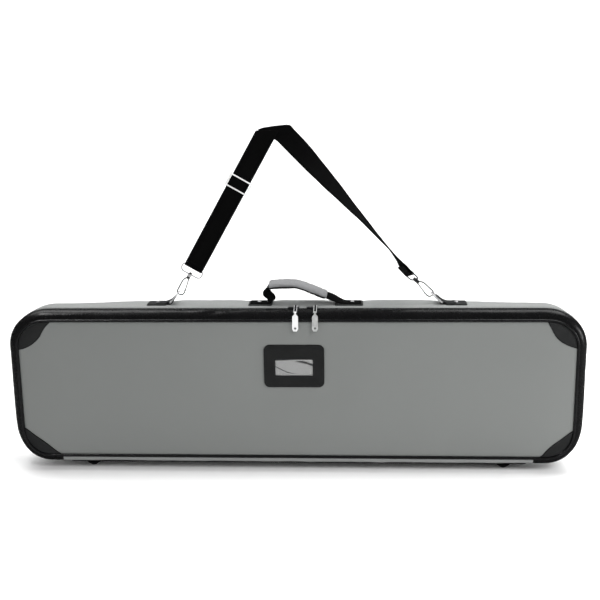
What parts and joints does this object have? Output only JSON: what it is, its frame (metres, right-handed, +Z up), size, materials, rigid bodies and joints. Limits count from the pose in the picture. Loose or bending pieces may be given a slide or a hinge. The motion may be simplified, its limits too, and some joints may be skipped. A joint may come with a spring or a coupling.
{
  "type": "snowboard bag",
  "caption": "Long padded zip bag for a snowboard standing on its edge, with a hinged front lid, grab handle and clip-on shoulder strap.",
  "frame": {"origin": "centre of the footprint on the ground plane under the four feet", "axes": "+X along the bag, to the right seen from the front panel; -Y out of the front panel; +Z up"},
  "size_m": [1.451, 0.1316, 0.8735],
  "materials": {
    "grey_fabric": "matte",
    "black_fabric": "matte",
    "gloss_fabric": "semi-gloss",
    "lining": "matte",
    "foam": "matte",
    "board": "matte",
    "rubber": "matte",
    "zip_plastic": "satin",
    "piping": "gloss",
    "leatherette": "satin",
    "card": "matte",
    "clear_film": "gloss",
    "webbing": "matte",
    "bright_metal": "polished",
    "dark_metal": "satin"
  },
  "bodies": {
    "body": {"body_shell": "grey_fabric", "back_stiffener_board": "board", "back_foam_pad": "foam", "gusset_foam": "foam", "body_lining": "lining", "base_pad": "black_fabric", "base_feet": "rubber", "foot_rivets": "dark_metal", "body_zip_tape": "black_fabric", "body_zip_coil": "zip_plastic", "handle_base_left": "leatherette", "handle_base_right": "leatherette", "handle_root_left": "webbing", "handle_root_right": "webbing", "handle_rivets": "bright_metal", "strap_anchor_left": "leatherette", "strap_anchor_right": "leatherette", "anchor_rivets": "bright_metal"},
    "lid": {"lid_shoulder": "gloss_fabric", "hinge_strip": "grey_fabric", "lid_panel": "grey_fabric", "lid_piping": "piping", "lid_foam_pad": "foam", "lid_lining": "lining", "lid_zip_tape": "black_fabric", "lid_zip_coil": "zip_plastic", "corner_patch_top_left": "leatherette", "corner_patch_top_right": "leatherette", "corner_patch_bottom_left": "leatherette", "corner_patch_bottom_right": "leatherette", "tag_holder": "black_fabric", "tag_card": "card", "tag_window": "clear_film"},
    "slider_left_body": {"slider_left": "dark_metal"},
    "slider_right_body": {"slider_right": "dark_metal"},
    "link_left_body": {"pull_link_left": "dark_metal"},
    "link_right_body": {"pull_link_right": "dark_metal"},
    "tab_left_body": {"pull_tab_left": "bright_metal"},
    "tab_right_body": {"pull_tab_right": "bright_metal"},
    "handle": {"handle_webbing": "webbing", "handle_grip": "grey_fabric"},
    "ring_left_body": {"ring_left": "bright_metal"},
    "ring_right_body": {"ring_right": "bright_metal"},
    "strap": {"strap_leg_left": "webbing", "strap_return_left": "webbing", "strap_fold": "webbing", "strap_leg_right": "webbing", "strap_end_right": "webbing", "hook_eye_left": "bright_metal", "hook_eye_right": "bright_metal"},
    "hook_left_body": {"hook_left": "bright_metal"},
    "hook_right_body": {"hook_right": "bright_metal"},
    "gate_left_body": {"gate_left": "dark_metal"},
    "gate_right_body": {"gate_right": "dark_metal"},
    "adjuster": {"strap_adjuster": "bright_metal"}
  },
  "joints": [
    {"name": "lid_hinge", "type": "hinge", "parent": "body", "child": "lid", "pos_m": [0, -0.058, 0.02], "axis": [1, 0, 0], "range_deg": [0, 170]},
    {"name": "slider_left_slide", "type": "slide", "parent": "lid", "child": "slider_left_body", "axis": [-1, 0, 0], "range_m": [0, 0.6]},
    {"name": "slider_right_slide", "type": "slide", "parent": "lid", "child": "slider_right_body", "axis": [1, 0, 0], "range_m": [0, 0.56]},
    {"name": "pull_link_left_swing", "type": "hinge", "parent": "slider_left_body", "child": "link_left_body", "pos_m": [0.005, -0.03, 0.4294], "axis": [1, 0, 0], "range_deg": [-95, 0]},
    {"name": "pull_tab_left_swing", "type": "hinge", "parent": "link_left_body", "child": "tab_left_body", "pos_m": [0.005, -0.0635, 0.41998], "axis": [1, 0, 0], "range_deg": [-80, 0]},
    {"name": "pull_link_right_swing", "type": "hinge", "parent": "slider_right_body", "child": "link_right_body", "pos_m": [0.054, -0.03, 0.4294], "axis": [1, 0, 0], "range_deg": [-95, 0]},
    {"name": "pull_tab_right_swing", "type": "hinge", "parent": "link_right_body", "child": "tab_right_body", "pos_m": [0.054, -0.0635, 0.41998], "axis": [1, 0, 0], "range_deg": [-80, 0]},
    {"name": "handle_swing", "type": "hinge", "parent": "body", "child": "handle", "pos_m": [0.01, 0.02, 0.43], "axis": [1, 0, 0], "range_deg": [-28, 28]},
    {"name": "ring_left_swing", "type": "hinge", "parent": "body", "child": "ring_left_body", "pos_m": [-0.318, 0.02, 0.4286], "axis": [0, 1, 0], "range_deg": [0, 5]},
    {"name": "ring_right_swing", "type": "hinge", "parent": "body", "child": "ring_right_body", "pos_m": [0.3715, 0.02, 0.4286], "axis": [0, -1, 0], "range_deg": [0, 5]},
    {"name": "strap_swing", "type": "hinge", "parent": "body", "child": "strap", "pos_m": [0.02485, 0.02, 0.45278], "axis": [1, 0, -0.0058], "range_deg": [-30, 30]},
    {"name": "hook_left_swivel", "type": "hinge", "parent": "strap", "child": "hook_left_body", "pos_m": [-0.29579, 0.02, 0.448], "axis": [0.4955, 0, 0.8686], "range_deg": [-12, 12]},
    {"name": "gate_left_pivot", "type": "hinge", "parent": "hook_left_body", "child": "gate_left_body", "pos_m": [-0.26946, 0.02, 0.48892], "axis": [0, 1, 0], "range_deg": [0, 18]},
    {"name": "hook_right_swivel", "type": "hinge", "parent": "strap", "child": "hook_right_body", "pos_m": [0.34748, 0.02, 0.44445], "axis": [-0.7314, 0, 0.682], "range_deg": [-12, 12]},
    {"name": "gate_right_pivot", "type": "hinge", "parent": "hook_right_body", "child": "gate_right_body", "pos_m": [0.31016, 0.02, 0.4757], "axis": [0, -1, 0], "range_deg": [0, 18]},
    {"name": "adjuster_slide", "type": "slide", "parent": "strap", "child": "adjuster", "axis": [0.4955, 0, 0.8686], "range_m": [-0.15, 0.06]}
  ]
}
